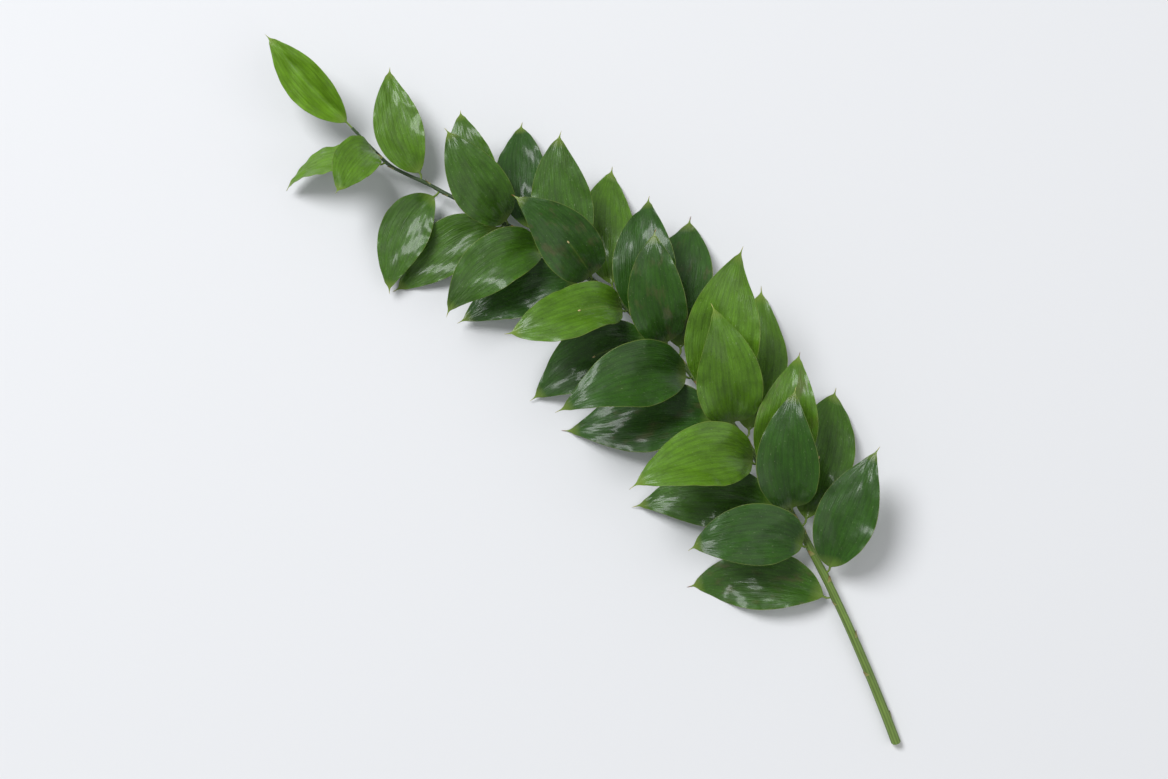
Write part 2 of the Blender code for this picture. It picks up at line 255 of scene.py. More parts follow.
def linear(colour):
    """The linear red, green and blue of an sRGB colour written in hex."""
    shares = [int(colour[i : i + 2], 16) / 255 for i in (0, 2, 4)]
    return tuple(
        share / 12.92 if share <= 0.04045 else ((share + 0.055) / 1.055) ** 2.4 for share in shares
    )


@dataclass
class Habit:
    """How one row's leaves sit: how far up the stem's side the stalk is, and ranges of pitch and roll."""

    around: float
    pitches: tuple
    rolls: tuple


LOW = Habit(around=0, pitches=((7, 9), (-12, -2), (-36, -14)), rolls=((7, 9), (-8, 14), (-24, 24)))
HIGH = Habit(around=42, pitches=((38, 62), (8, 32), (-34, 2)), rolls=((7, 9), (-14, 28), (-30, 42)))


@dataclass
class Leaf:
    """One leaf. Its yaw, pitch and roll are each given at the three SHARES of its length.

    Yaw is the angle from the stem's heading to the leaf, seen from above. Pitch is its climb. A positive
    roll lifts the margin that faces the cut end. Fold is how far each half stands up from flat, at base and
    tip. Side is 1 on the stem's left and -1 on its right, and around is how far the stalk sits above that
    side. Widest is the share of the oval at which it is widest. Wave is the height of its margins' ripple.
    """

    station: float
    side: int
    around: float
    yaw: tuple
    pitch: tuple
    roll: tuple
    fold: tuple
    length: float
    width: float
    widest: float
    wave: float
    phase: float
    name: str = "leaf"
    tone: float = 0.0
    browned: float = 0.0
    lopsided: float = 0.0
    hook: float = 0.0
    budded: float = 0.0


def ease(x):
    """A smooth step from 0 to 1."""
    x = np.clip(x, 0.0, 1.0)
    return x * x * (3 - 2 * x)


def direction(yaw, pitch):
    """Unit vectors along, left of and above a line that heads at yaw and climbs at pitch, in radians."""
    along = np.stack([np.cos(pitch) * np.cos(yaw), np.cos(pitch) * np.sin(yaw), np.sin(pitch)], axis=-1)
    left = np.stack([-np.sin(yaw), np.cos(yaw), np.zeros_like(yaw)], axis=-1)
    return along, left, np.cross(along, left)


def grid_map(first, second):
    """Pairs of coordinates for a grid, from one list or grid of values for each direction."""
    return np.stack(np.broadcast_arrays(first, second), axis=-1)


class Axis:
    """The stem's centre line, which bends a little to the other side at each leaf."""

    def __init__(self, leaves, settings):
        self.length = settings.length
        self.diameters = (settings.cut_diameter, settings.tip_diameter)
        self.reach = np.arange(0, self.length + AXIS_STEP / 2, AXIS_STEP)
        bends = [ZIGZAG * leaf.side * leaf.station / self.length for leaf in leaves]
        zigzag = np.interp(self.reach, [leaf.station for leaf in leaves], bends)
        self.yaw = np.radians(np.interp(self.reach, *zip(*HEADINGS)) - zigzag)
        self.pitch = np.radians(np.interp(self.reach, *zip(*CLIMBS)))
        steps = direction(self.yaw, self.pitch)[0] * AXIS_STEP
        self.points = np.vstack([np.zeros(3), np.cumsum(steps[:-1], axis=0)])
        self.points[:, 2] += settings.cut_diameter / 2 * (1 + RIDGE_HEIGHT)

    def at(self, station):
        """The point, the heading and the climb at a station."""
        point = np.array([np.interp(station, self.reach, self.points[:, i]) for i in range(3)])
        yaw = np.interp(station, self.reach, self.yaw)
        pitch = np.interp(station, self.reach, self.pitch)
        return point, yaw, pitch

    def radius(self, station):
        """Half the stem's plain thickness at a station."""
        return np.interp(station, (0, self.length), self.diameters) / 2

    def around(self, station, turned):
        """The point at a station, the direction along, and the directions out at angles round the stem."""
        point, yaw, pitch = self.at(station)
        along, left, up = direction(yaw, pitch)
        out = left * np.cos(turned)[:, None] + up * np.sin(turned)[:, None]
        return point, along, out


def placed_leaves(length):
    """The leaves that are listed one by one: five that stand over the stem, and the five at its top."""
    rows = (
        (0.1455, -1, 76, (10, 26, 46), (66, 34, -12), (0, 10, 16), (32, 8), 0.084, 0.037, 0.42, 0.0012, 0.3),
        (0.2063, -1, 84, (22, 28, 20), (74, 42, -12), (0, 8, -12), (32, 6), 0.087, 0.039, 0.40, 0.0014, 0.6),
        (0.2673, -1, 78, (18, 34, 46), (70, 38, -10), (0, 12, 18), (32, 10), 0.080, 0.035, 0.44, 0.0013, 0.8),
        (0.3275, -1, 84, (10, 8, -6), (74, 40, -12), (0, 12, 4), (32, 10), 0.082, 0.036, 0.41, 0.0016, 0.4),
        (0.3880, -1, 80, (12, 24, 40), (66, 34, -16), (0, 8, -12), (32, 8), 0.076, 0.034, 0.43, 0.0010, 0.1),
        (0.4340, 1, 0, (66, 96, 112), (14, -2, -18), (0, 0, 8), (30, 6), 0.070, 0.031, 0.42, 0.0006, 0.1),
        (0.4470, -1, 24, (30, 50, 62), (30, 8, -14), (10, 0, -14), (32, 8), 0.072, 0.030, 0.41, 0.0008, 0.4),
        (0.4710, 1, 5, (34, 50, 84), (26, -4, -34), (4, 40, 46), (20, 14), 0.066, 0.027, 0.42, 0.0007, 0.7),
        (0.4800, 1, 78, (80, 104, 118), (78, 40, -2), (0, -4, -14), (26, 4), 0.054, 0.027, 0.45, 0.0010, 0.2),
        (length, 1, 0, (4, 0, -6), (16, 12, 2), (-14, -16, -6), (48, 38), 0.075, 0.033, 0.42, 0.0005, 0.9),
    )
    return [Leaf(*row) for row in rows]


def ruled_leaves():
    """The other leaves, in turn low on the left, high on the right, high on the left, low on the right."""
    draw = random.Random(SEED)
    leaves = []
    for k in range(RULED_LEAVES):
        share = k / (RULED_LEAVES - 1)
        side = 1 if k % 2 == 0 else -1
        habit = LOW if k % 4 in (0, 3) else HIGH
        grown = 1 - abs(share - LONGEST_AT) / max(LONGEST_AT, 1 - LONGEST_AT)
        length = (SHORTEST_LEAF + (LONGEST_LEAF - SHORTEST_LEAF) * grown) * draw.uniform(*LENGTH_VARIES)
        shifted = draw.uniform(-STATION_VARIES, STATION_VARIES)
        yaw = draw.uniform(*(LEFT_YAW if side > 0 else RIGHT_YAW))
        leaves.append(
            Leaf(
                station=FIRST_STATION + (LAST_STATION - FIRST_STATION) * share + shifted,
                side=side,
                around=habit.around,
                yaw=(STALK_YAW, yaw, yaw + draw.uniform(*TIP_TURNS)),
                pitch=tuple(draw.uniform(*span) for span in habit.pitches),
                roll=tuple(draw.uniform(*span) for span in habit.rolls),
                fold=(BASE_FOLD, draw.uniform(*TIP_FOLD)),
                length=length,
                width=length * draw.uniform(*WIDTH_SHARE),
                widest=draw.uniform(*WIDEST_SHARE),
                wave=draw.uniform(*WAVE_HEIGHT),
                phase=draw.random(),
            )
        )
    return leaves


def all_leaves(length):
    """Every leaf, in order from the cut end and named by its place."""
    leaves = sorted(ruled_leaves() + placed_leaves(length), key=lambda leaf: leaf.station)
    for count, leaf in enumerate(leaves, start=1):
        leaf.name = f"leaf_{count:02d}"
    leaves[-1].name = "leaf_tip"
    return leaves


def vary(leaves):
    """Gives each leaf its green, a straw or brown spine, uneven halves, a hooked point and maybe a bud."""
    draw = random.Random(VARY_SEED)
    for leaf in leaves:
        young = float(ease((leaf.station - YOUNG_FROM) / YOUNG_OVER))
        leaf.tone = TONE_VARIES * draw.random() ** 2 + YOUNG_TONE * young
        leaf.tone += BRIGHT_TONE * float(draw.random() < BRIGHT_SHARE)
        leaf.browned = 1.0 if draw.random() > UNBROWNED_SHARE else LEAST_BROWNED
        leaf.lopsided = draw.uniform(-LOPSIDED, LOPSIDED)
        leaf.hook = draw.uniform(-HOOK, HOOK) * MM
        leaf.budded = float(draw.random() < BUDDED_SHARE)


def half_width(leaf, u):
    """Half the blade's width at the share u of its length: a stalk, a full oval and a drawn-out point."""
    along = np.clip((u - STALK_SHARE) / (OVAL_ENDS - STALK_SHARE), 0, 1)
    before, beyond = along / leaf.widest, (1 - along) / (1 - leaf.widest)
    oval = before**FULLNESS * beyond ** (FULLNESS * (1 - leaf.widest) / leaf.widest)
    point = POINT_WIDTH / 2 * np.clip((1 - u) / POINT_SHARE, 0, 1) ** 2 * ease(u)
    spine = SPINE_WIDTH / 2 * (1 - SPINE_TAPER * ease(1 - (1 - u) / SPINE_SHARE))
    least = np.where(u < leaf.widest, STALK_WIDTH / 2, spine)
    return np.maximum(np.hypot(oval * leaf.width / 2, point), least)


def facing_of(leaf):
    """The angle round the stem, counter-clockwise from its left, at which a leaf grows."""
    return math.radians(leaf.around if leaf.side > 0 else 180 - leaf.around)


def leaf_base(leaf, axis):
    """The point where a leaf's curve starts, the step back to its root, and the stem's heading there."""
    point, along, out = axis.around(leaf.station, np.array([facing_of(leaf)]))
    radius, yaw = axis.radius(leaf.station), axis.at(leaf.station)[1]
    if leaf.station == axis.length:
        return point + along * LEAF_STANDS_OFF, -along * (LEAF_STANDS_OFF + 2 * radius), yaw
    root = -out[0] * (LEAF_STANDS_OFF + ROOT_DEPTH * radius)
    return point + out[0] * (radius + LEAF_STANDS_OFF), root, yaw


def resting(height, floor):
    """Heights held at or above the floor, with a soft turn onto it."""
    above = height - floor
    soft = (above + FLOOR_SOFTNESS) ** 2 / (4 * FLOOR_SOFTNESS)
    held = np.where(above > FLOOR_SOFTNESS, above, np.where(above < -FLOOR_SOFTNESS, 0.0, soft))
    return floor + held


def relief(leaf, u, v, across):
    """How far dents, veins, a raised nerve and the crimped margin move a blade from its even form."""
    u, v = u[:, None], v[None, :]
    along, over = DENT_WAVES
    dents = np.sin(TURN * (along * u + leaf.phase)) * np.cos(TURN * (over * v + leaf.phase))
    along, over = SMALL_DENT_WAVES
    small = np.sin(TURN * (along * u - leaf.phase)) * np.sin(TURN * (over * v + 3 * leaf.phase))
    dents = dents + SMALL_DENTS * small
    veins = np.cos(TURN * MAIN_VEINS * np.abs(v)) * (1 - np.abs(v) ** 3)
    crimp = np.sin(TURN * (CRIMPS * u + 5 * leaf.phase + CRIMP_LAG * np.sign(v))) * v**6
    nerve = leaf.budded * np.exp(-((across / NERVE_WIDTH) ** 2))
    nerve = nerve * (1 - ease((u - BUD_SHARE - NERVE_FADES[0]) / NERVE_FADES[1]))
    raised = DENT_DEPTH * dents + VEIN_RELIEF * veins + CRIMP_HEIGHT * crimp + NERVE_HEIGHT * nerve
    risen = ease((u - RELIEF_RISES[0]) / RELIEF_RISES[1])
    return raised * risen * (1 - ease((u - RELIEF_FADES[0]) / RELIEF_FADES[1]))


def blade_surface(leaf, axis, u, v, floor):
    """The middle surface of a leaf at shares u along and v across it, from -1 to 1, kept off the ground."""
    base, _, heading = leaf_base(leaf, axis)
    fine = np.linspace(0, 1, MIDLINE_STEPS + 1)
    yaw = heading + leaf.side * np.radians(np.interp(fine, SHARES, leaf.yaw))
    pitch = np.radians(np.interp(fine, SHARES, leaf.pitch))
    along, left, up = direction(yaw, pitch)
    steps = (along[1:] + along[:-1]) / 2 * leaf.length / MIDLINE_STEPS
    line = base + np.vstack([np.zeros(3), np.cumsum(steps, axis=0)])

    def sampled(values):
        return np.stack([np.interp(u, fine, values[:, i]) for i in range(3)], axis=1)

    line, left, up = sampled(line), sampled(left), sampled(up)
    line = line + left * (leaf.hook * np.clip(1 - (1 - u) / HOOK_SHARE, 0, 1) ** 2)[:, None]
    roll = leaf.side * np.radians(np.interp(u, SHARES, leaf.roll))[:, None]
    left, up = left * np.cos(roll) + up * np.sin(roll), up * np.cos(roll) - left * np.sin(roll)
    across = half_width(leaf, u)[:, None] * (v * (1 + leaf.lopsided * np.sign(v)))[None, :]
    fold = np.radians(leaf.fold[0] + (leaf.fold[1] - leaf.fold[0]) * ease(u / FLATTENED_BY))[:, None]
    raised = (np.sqrt(across**2 + FOLD_ROUNDING**2) - FOLD_ROUNDING) * np.sin(fold)
    waves = WAVES * u[:, None] + leaf.phase + RIPPLE_LAG / 2 * np.sign(v)[None, :]
    height = leaf.wave * ease(u / RIPPLE_BY) * ease((1 - u) / (1 - RIPPLE_FADES))
    raised = raised + height[:, None] * np.sin(TURN * waves) * v[None, :] ** 2
    raised = raised + relief(leaf, u, v, across)
    points = line[:, None, :] + left[:, None, :] * (across * np.cos(fold))[:, :, None]
    points = points + up[:, None, :] * raised[:, :, None]
    points[:, :, 2] = resting(points[:, :, 2], floor)
    return points


def surface_normals(points):
    """Unit normals of a grid of points."""
    normals = np.cross(np.gradient(points, axis=0), np.gradient(points, axis=1))
    return normals / np.maximum(np.linalg.norm(normals, axis=2, keepdims=True), 1e-12)


def add_maps(mesh, maps):
    """Adds maps to a mesh, each from pairs of coordinates in the order of its corners."""
    for name, pairs in maps.items():
        mesh.uv_layers.new(name=name).data.foreach_set("uv", np.asarray(pairs, float).ravel())


def sheet_mesh(name, points, thickness, coordinates, finishes):
    """A closed thin body round a grid of points, with grids of coordinates as maps, and a finish or two."""
    offset = surface_normals(points) * thickness / 2
    rows, columns = points.shape[:2]
    count = rows * columns
    index = np.arange(count).reshape(rows, columns)
    a, b, c, d = index[:-1, :-1], index[1:, :-1], index[1:, 1:], index[:-1, 1:]
    top = np.stack([a, b, c, d], axis=-1).reshape(-1, 4)
    low = np.stack([d, c, b, a], axis=-1).reshape(-1, 4) + count
    ring = np.concatenate([index[:, 0], index[-1, 1:], index[-2::-1, -1], index[0, -2:0:-1]])
    after = np.roll(ring, -1)
    rim = np.stack([ring, ring + count, after + count, after], axis=-1)
    vertices = np.concatenate([(points + offset).reshape(-1, 3), (points - offset).reshape(-1, 3)])
    mesh = bpy.data.meshes.new(name)
    mesh.from_pydata(vertices.tolist(), [], np.concatenate([top, low, rim]).tolist())
    for finish in finishes:
        mesh.materials.append(finish)
    kinds = np.repeat([0, len(finishes) - 1, 0], [len(top), len(low), len(rim)]).astype(np.int32)
    mesh.polygons.foreach_set("material_index", kinds)
    corners = np.empty(len(mesh.loops), np.int32)
    mesh.loops.foreach_get("vertex_index", corners)
    add_maps(mesh, {layer: values.reshape(-1, 2)[corners % count] for layer, values in coordinates.items()})
    mesh.shade_smooth()
    return mesh


def put(name, mesh, origin, replaces=True):
    """Links a mesh as a piece of the object, with its own origin, and lets it ride on the frame."""
    mesh.transform(Matrix.Translation(-Vector(origin)))
    piece = bpy.data.objects.new(name, mesh)
    bpy.context.scene.collection.objects.link(piece)
    piece.location = origin
    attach(piece, "root")
    if replaces:
        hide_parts("leafy_stem")
    return piece


class Plant:
    """The leaves and the stem's centre line, with the plant centred on the origin as seen from above."""

    def __init__(self, settings):
        self.leaves = all_leaves(settings.length)
        self.axis = Axis(self.leaves, settings)
        cut = self.axis.points[0] - [settings.cut_diameter / 2, 0, 0]
        u, v = np.linspace(0, 1, CENTRING_ROWS), np.linspace(-1, 1, CENTRING_COLUMNS)
        spread = [blade_surface(leaf, self.axis, u, v, 0).reshape(-1, 3) for leaf in self.leaves]
        points = np.vstack([cut, *spread])
        self.axis.points[:, :2] -= (points.min(axis=0) + points.max(axis=0))[:2] / 2
        vary(self.leaves)


def node(tree, kind, inputs=None, out=0, **settings):
    """Adds a node with its settings, gives each input a value or a link, and returns one of its outputs.

    A mix node that mixes colours takes them as its inputs 6 and 7 and gives the mixture as its output 2.
    """
    made = tree.nodes.new(kind)
    for name, value in settings.items():
        setattr(made, name, value)
    for key, value in (inputs or {}).items():
        if isinstance(value, bpy.types.NodeSocket):
            tree.links.new(value, made.inputs[key])
        else:
            made.inputs[key].default_value = value
    return made.outputs[out] if made.outputs else None


def blank(name):
    """A new material with an empty node tree."""
    made = bpy.data.materials.new(name)
    made.use_nodes = True
    made.node_tree.nodes.clear()
    return made, made.node_tree


def drawn_out(tree, size, along, across, low, high):
    """Noise whose features are so many millimetres long and wide, spread over low to high."""
    scale = (1 / along, 1 / across, 1)
    place = node(tree, "ShaderNodeVectorMath", {0: size, 1: scale}, operation="MULTIPLY")
    noise = {"Vector": place, "Scale": 1.0, "Detail": 3.0, "Roughness": 0.6}
    pattern = node(tree, "ShaderNodeTexNoise", noise)
    # Nearly all of the noise lies between 0.3 and 0.7.
    return node(tree, "ShaderNodeMapRange", {0: pattern, 1: 0.3, 2: 0.7, 3: low, 4: high})


def fine_veins(tree, v, size, count):
    """A cosine that runs lengthwise in parallel lines, count of them on each half, which waver a little."""
    waver = drawn_out(tree, size, *WAVERS)
    wavered = node(tree, "ShaderNodeMath", {0: v, 1: waver}, operation="ADD")
    phase = node(tree, "ShaderNodeMath", {0: wavered, 1: TURN * count}, operation="MULTIPLY")
    return node(tree, "ShaderNodeMath", {0: phase}, operation="COSINE")


def finish_leaf(tree, colour, roughness, bump, glow, coat=0.0):
    """A leaf's skin: light shines on its surface and a little comes through it."""
    shine = {"Roughness": roughness, "IOR": 1.38, "Coat Weight": coat, "Coat Roughness": 0.17}
    skin = node(tree, "ShaderNodeBsdfPrincipled", {"Base Color": colour, "Normal": bump, **shine})
    through = node(tree, "ShaderNodeBsdfTranslucent", {"Color": (*glow, 1)})
    both = node(tree, "ShaderNodeMixShader", {0: 0.12, 1: skin, 2: through})
    node(tree, "ShaderNodeOutputMaterial", {0: both})


def cuticle(settings):
    """The waxy upper skin of a leaf.

    It gives the eye a deep mottled green that differs from leaf to leaf, clear highlights that fine
    lengthwise streaks break up, a thin pale line along the margin that is part its own pale edge and part
    painted highlight where the edge catches light, and a yellower point with a straw or brown spine.
    """
    made, tree = blank("waxy leaf cuticle")
    blade = node(tree, "ShaderNodeUVMap", uv_map="blade")
    u = node(tree, "ShaderNodeSeparateXYZ", {0: blade})
    v = node(tree, "ShaderNodeSeparateXYZ", {0: blade}, out=1)
    off_middle = node(tree, "ShaderNodeMath", {0: v}, operation="ABSOLUTE")
    size = node(tree, "ShaderNodeUVMap", uv_map="millimetres")
    tone, browned, budded = [
        node(tree, "ShaderNodeAttribute", out="Fac", attribute_name=name)
        for name in ("tone", "browned", "budded")
    ]

    # The green, with blotches, streaks, fine and main veins and a few dark flecks.
    greens = {6: (*settings.mature, 1), 7: (*settings.fresh, 1)}
    colour = node(tree, "ShaderNodeMix", {0: tone, **greens}, out=2, data_type="RGBA")
    veins = fine_veins(tree, v, size, FINE_VEINS)
    main_veins = fine_veins(tree, v, size, MAIN_VEINS)
    for shade in (
        drawn_out(tree, size, *LEAF_BLOTCHES),
        drawn_out(tree, size, *LEAF_STREAKS),
        node(tree, "ShaderNodeMapRange", {0: veins, **FINE_VEIN_SHADE}),
        node(tree, "ShaderNodeMapRange", {0: main_veins, **MAIN_VEIN_SHADE}),
        node(tree, "ShaderNodeMapRange", {0: drawn_out(tree, size, *FLECKS), **FLECK_SHADE}),
    ):
        colour = node(tree, "ShaderNodeHueSaturation", {"Value": shade, "Color": colour})

    # Small pale scuffs, and a dull bruise on a leaf whose spine has turned brown.
    scuffs = node(tree, "ShaderNodeMapRange", {0: drawn_out(tree, size, *SCUFFS), **SCUFF_MASK})
    bruise = node(tree, "ShaderNodeMapRange", {0: drawn_out(tree, size, *BRUISES), **BRUISE_MASK})
    bruise = node(tree, "ShaderNodeMath", {0: bruise, 1: browned}, operation="MULTIPLY")
    for share, own in ((scuffs, linear("a9b58a")), (bruise, linear("5d5334"))):
        colour = node(tree, "ShaderNodeMix", {0: share, 6: colour, 7: (*own, 1)}, out=2, data_type="RGBA")

    # Places with a colour of their own: the stalk, the nerve below a bud, the point and the spine. The
    # margin's pale line is part the blade's own pale edge and part painted highlight where the edge catches
    # light.
    at_nerve = node(tree, "ShaderNodeMapRange", {0: off_middle, **NERVE_MASK})
    before_bud = node(tree, "ShaderNodeMapRange", {0: u, **BEFORE_BUD})
    nerve = node(tree, "ShaderNodeMath", {0: at_nerve, 1: before_bud}, operation="MULTIPLY")
    nerve = node(tree, "ShaderNodeMath", {0: nerve, 1: budded}, operation="MULTIPLY")
    straw, brown = (*settings.spine, 1), (*linear("8a5326"), 1)
    spine = node(tree, "ShaderNodeMix", {0: browned, 6: straw, 7: brown}, out=2, data_type="RGBA")
    for share, own in (
        (node(tree, "ShaderNodeMapRange", {0: u, **STALK_MASK}), settings.stalk),
        (nerve, settings.stalk),
        (node(tree, "ShaderNodeMapRange", {0: off_middle, **PALE_EDGE_AND_HIGHLIGHT_MASK}), settings.margin),
        (node(tree, "ShaderNodeMapRange", {0: u, **POINT_MASK}), settings.margin),
        (node(tree, "ShaderNodeMapRange", {0: u, **SPINE_MASK}), spine),
    ):
        own = own if isinstance(own, bpy.types.NodeSocket) else (*own, 1)
        colour = node(tree, "ShaderNodeMix", {0: share, 6: colour, 7: own}, out=2, data_type="RGBA")

    # The streaks, shallow dimples and fine veins that break up the highlights.
    streaks = drawn_out(tree, size, *GLOSS_STREAKS)
    dimples = drawn_out(tree, size, *GLOSS_DIMPLES)
    height = node(tree, "ShaderNodeMath", {0: dimples, 1: 0.9, 2: streaks}, operation="MULTIPLY_ADD")
    height = node(tree, "ShaderNodeMath", {0: veins, 1: 0.14, 2: height}, operation="MULTIPLY_ADD")
    bump = node(tree, "ShaderNodeBump", {"Height": height, "Distance": 0.17 * MM, "Strength": 1.0})
    roughness = drawn_out(tree, size, *LEAF_ROUGHNESS)
    finish_leaf(tree, colour, roughness, bump, settings.glow, coat=0.32)
    return made


def underside(settings):
    """The lower skin of a leaf, which has less wax: paler, greyer and more matt, with raised veins."""
    made, tree = blank("matt leaf underside")
    v = node(tree, "ShaderNodeSeparateXYZ", {0: node(tree, "ShaderNodeUVMap", uv_map="blade")}, out=1)
    size = node(tree, "ShaderNodeUVMap", uv_map="millimetres")
    veins = fine_veins(tree, v, size, UNDERSIDE_VEINS)
    shade = drawn_out(tree, size, *UNDERSIDE_STREAKS)
    colour = node(tree, "ShaderNodeHueSaturation", {"Value": shade, "Color": (*settings.underside, 1)})
    bump = node(tree, "ShaderNodeBump", {"Height": veins, "Distance": 0.04 * MM, "Strength": 1.0})
    finish_leaf(tree, colour, 0.52, bump, settings.glow)
    return made


def stem_skin(settings):
    """Ridged green stem skin: satin, paler where thick and old, with lengthwise lines and painted groove
    shade.
    """
    made, tree = blank("ridged stem skin")
    size = node(tree, "ShaderNodeUVMap", uv_map="millimetres")
    reach = node(tree, "ShaderNodeSeparateXYZ", {0: size})
    young = node(tree, "ShaderNodeMapRange", {0: reach, **YOUNG_STEM})
    skins = {6: (*settings.old, 1), 7: (*settings.young, 1)}
    colour = node(tree, "ShaderNodeMix", {0: young, **skins}, out=2, data_type="RGBA")
    # Painted shade darkens the grooves between the ridges and lightens the crests a little, then come streaks
    # and blotches.
    ridge = node(tree, "ShaderNodeAttribute", out="Fac", attribute_name="ridge")
    for shade in (
        node(tree, "ShaderNodeMapRange", {0: ridge, **PAINTED_GROOVE_SHADE}),
        drawn_out(tree, size, *STEM_STREAKS),
        drawn_out(tree, size, *STEM_BLOTCHES),
    ):
        colour = node(tree, "ShaderNodeHueSaturation", {"Value": shade, "Color": colour})
    lines = drawn_out(tree, size, *STEM_LINES)
    bump = node(tree, "ShaderNodeBump", {"Height": lines, "Distance": 0.10 * MM, "Strength": 1.0})
    shine = {"Roughness": 0.42, "IOR": 1.45, "Normal": bump}
    skin = node(tree, "ShaderNodeBsdfPrincipled", {"Base Color": colour, **shine})
    node(tree, "ShaderNodeOutputMaterial", {0: skin})
    return made


def cut_pith():
    """The freshly cut end: damp pale pith with darker strands."""
    made, tree = blank("freshly cut pith")
    place = node(tree, "ShaderNodeTexCoord", out="Object")
    dots = node(tree, "ShaderNodeTexVoronoi", {"Vector": place, "Scale": PITH_STRANDS})
    strand = node(tree, "ShaderNodeMapRange", {0: dots, **STRAND_MASK})
    pale, tan = (*linear("cfd3a0"), 1), (*linear("98a05c"), 1)
    colour = node(tree, "ShaderNodeMix", {0: strand, 6: pale, 7: tan}, out=2, data_type="RGBA")
    bump = node(tree, "ShaderNodeBump", {"Height": dots, "Distance": 0.05 * MM, "Strength": 0.6})
    skin = node(tree, "ShaderNodeBsdfPrincipled", {"Base Color": colour, "Roughness": 0.4, "Normal": bump})
    node(tree, "ShaderNodeOutputMaterial", {0: skin})
    return made


def papery(name, foot, tip):
    """Thin dry tissue with fine lengthwise lines, of one colour at its foot and browner towards its tip."""
    made, tree = blank(name)
    reach = node(tree, "ShaderNodeSeparateXYZ", {0: node(tree, "ShaderNodeUVMap", uv_map="blade")})
    size = node(tree, "ShaderNodeUVMap", uv_map="millimetres")
    lines = drawn_out(tree, size, *PAPERY_LINES)
    colours = {6: (*linear(foot), 1), 7: (*linear(tip), 1)}
    colour = node(tree, "ShaderNodeMix", {0: reach, **colours}, out=2, data_type="RGBA")
    colour = node(tree, "ShaderNodeHueSaturation", {"Value": lines, "Color": colour})
    bump = node(tree, "ShaderNodeBump", {"Height": lines, "Distance": 0.05 * MM, "Strength": 0.7})
    finish_leaf(tree, colour, 0.65, bump, linear("c9b27a"))
    return made


def studio_card(colour):
    """The floor: matt card with a faint tooth, pale enough to show the soft shadow."""
    made, tree = blank("matt studio card")
    place = node(tree, "ShaderNodeTexCoord", out="Object")
    tooth = node(tree, "ShaderNodeTexNoise", {"Vector": place, "Scale": CARD_GRAINS, "Detail": 2.0})
    bump = node(tree, "ShaderNodeBump", {"Height": tooth, "Distance": 0.1 * MM, "Strength": 0.15})
    shine = {"Roughness": 0.9, "Normal": bump}
    skin = node(tree, "ShaderNodeBsdfPrincipled", {"Base Color": (*colour, 1), **shine})
    node(tree, "ShaderNodeOutputMaterial", {0: skin})
    return made


def size_setting(name, description, default):
    """A length that the sidebar shows with its unit."""
    return bpy.props.FloatProperty(
        name=name, description=description, default=default, precision=4, unit="LENGTH"
    )


def angle_setting(name, description, default):
    """An angle, given here in degrees."""
    return bpy.props.FloatProperty(
        name=name, description=description, default=math.radians(default), subtype="ANGLE"
    )


def colour_setting(name, description, default):
    """A colour, given here in hex."""
    return bpy.props.FloatVectorProperty(
        name=name, description=description, default=linear(default), subtype="COLOR", size=3
    )


class RuscusStemSettings(bpy.types.PropertyGroup):
    """Sizes and colours of the stem."""

    length: size_setting("Length", "Length of the stem from its cut end to its tip", 0.5)
    cut_diameter: size_setting("Cut end", "Thickness of the stem at its cut end", 0.0054)
    tip_diameter: size_setting("Tip", "Thickness of the stem at its tip", 0.0017)
    cut_slant: angle_setting("Slant", "Slant of the cut", 32)
    ridges: bpy.props.IntProperty(name="Ridges", description="Ridges round the stem", default=9)
    old: colour_setting("Old skin", "Colour of the stem low down", "667f35")
    young: colour_setting("Young skin", "Colour of the stem near its tip", "33491f")


class RuscusLeafSettings(bpy.types.PropertyGroup):
    """Thickness and colours of the leaves."""

    thickness: size_setting("Thickness", "Thickness of a blade at its middle", 0.0004)
    edge: size_setting("Edge", "Thickness of a blade at its margin", 0.00022)
    mature: colour_setting("Mature", "Green of the darkest leaf", "274f08")
    fresh: colour_setting("Fresh", "Green of the youngest leaf", "80b022")
    stalk: colour_setting("Stalk", "Colour of the stalk and of a raised nerve", "7d963c")
    # The margin's thin line is part the blade's own pale edge and part painted highlight where the edge
    # catches light.
    margin: colour_setting("Margin", "Colour of the margin's thin line and of the point", "9aae48")
    spine: colour_setting("Spine", "Colour of the soft spine at the tip", "b8b56a")
    underside: colour_setting("Underside", "Colour of the lower face", "7f9a78")
    glow: colour_setting("Glow", "Colour of light that comes through a blade", "9cc23a")


class RuscusStageSettings(bpy.types.PropertyGroup):
    """The camera, the lights and the floor."""

    lens: bpy.props.FloatProperty(
        name="Lens", description="Focal length of the camera", default=70, unit="CAMERA"
    )
    distance: size_setting("Distance", "Distance of the camera from the stem", 1.33)
    elevation: angle_setting("Elevation", "How steeply the camera looks down", 80)
    turn: angle_setting("Turn", "Direction of the stem in the picture, from the right", 133)
    floor: colour_setting("Floor", "Colour of the floor", "d9d9da")
    key: bpy.props.FloatProperty(
        name="Key", description="Power of the main light", default=165, unit="POWER"
    )
    sky: bpy.props.FloatProperty(
        name="Sky", description="Strength of the light from all round", default=0.42
    )


